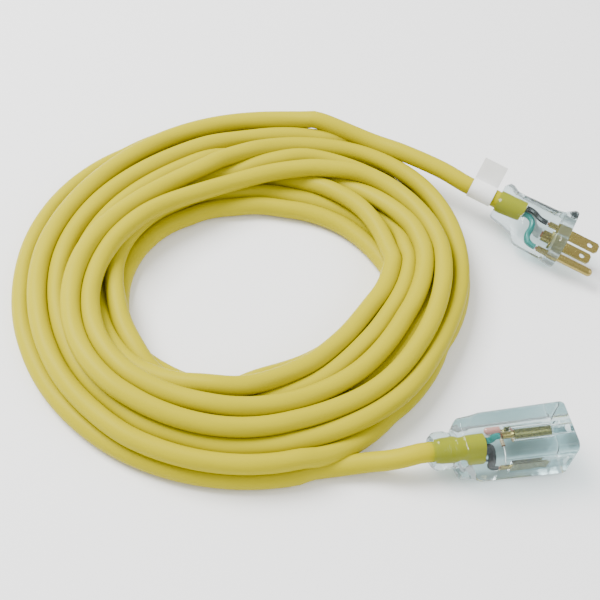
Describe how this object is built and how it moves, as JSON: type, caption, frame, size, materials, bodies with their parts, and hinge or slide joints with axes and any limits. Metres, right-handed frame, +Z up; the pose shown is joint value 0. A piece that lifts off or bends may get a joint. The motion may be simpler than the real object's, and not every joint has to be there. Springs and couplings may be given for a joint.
{
  "type": "extension cord",
  "caption": "Coiled outdoor extension cord with a grounded plug and a lit connector in clear mouldings that show the conductors, crimps and contacts.",
  "frame": {"origin": "on the floor, under the middle of the connector", "axes": "+X out of the connector's face, +Z up"},
  "size_m": [0.3125, 0.2448, 0.0376],
  "materials": {
    "yellow_jacket": "satin yellow vinyl",
    "clear_moulding": "clear bluish-grey soft vinyl",
    "clear_insert": "clear stiff plastic",
    "brass": "plain brass",
    "copper_strands": "bare stranded copper",
    "black_insulation": "satin black vinyl",
    "white_insulation": "satin white vinyl",
    "green_insulation": "satin blue-green vinyl",
    "lamp_glass": "neon lamp glass",
    "resistor_body": "lacquered",
    "tinned_lead": "tinned wire",
    "tag_film": "blank white film"
  },
  "bodies": {
    "root": {"connector_body": "clear_moulding", "connector_insert": "clear_insert", "connector_contact_hot": "brass", "connector_contact_neutral": "brass", "connector_contact_ground": "brass", "connector_jacket_end": "yellow_jacket", "connector_wire_black": "black_insulation", "connector_wire_white": "white_insulation", "connector_wire_green": "green_insulation", "connector_strands_black": "copper_strands", "connector_strands_white": "copper_strands", "connector_strands_green": "copper_strands", "connector_lamp": "lamp_glass", "connector_lamp_resistor": "resistor_body", "connector_lamp_lead_hot": "tinned_lead", "connector_lamp_lead_neutral": "tinned_lead", "connector_lamp_lead_resistor": "tinned_lead", "plug_body": "clear_moulding", "plug_bridge": "clear_insert", "plug_blade_hot": "brass", "plug_blade_neutral": "brass", "plug_ground_pin": "brass", "plug_jacket_end": "yellow_jacket", "plug_wire_black": "black_insulation", "plug_wire_white": "white_insulation", "plug_wire_green": "green_insulation", "plug_strands_black": "copper_strands", "plug_strands_white": "copper_strands", "plug_strands_green": "copper_strands", "cord_coil": "yellow_jacket", "cord_plug_lead": "yellow_jacket", "cord_connector_lead": "yellow_jacket", "cord_tag": "tag_film"}
  },
  "joints": []
}
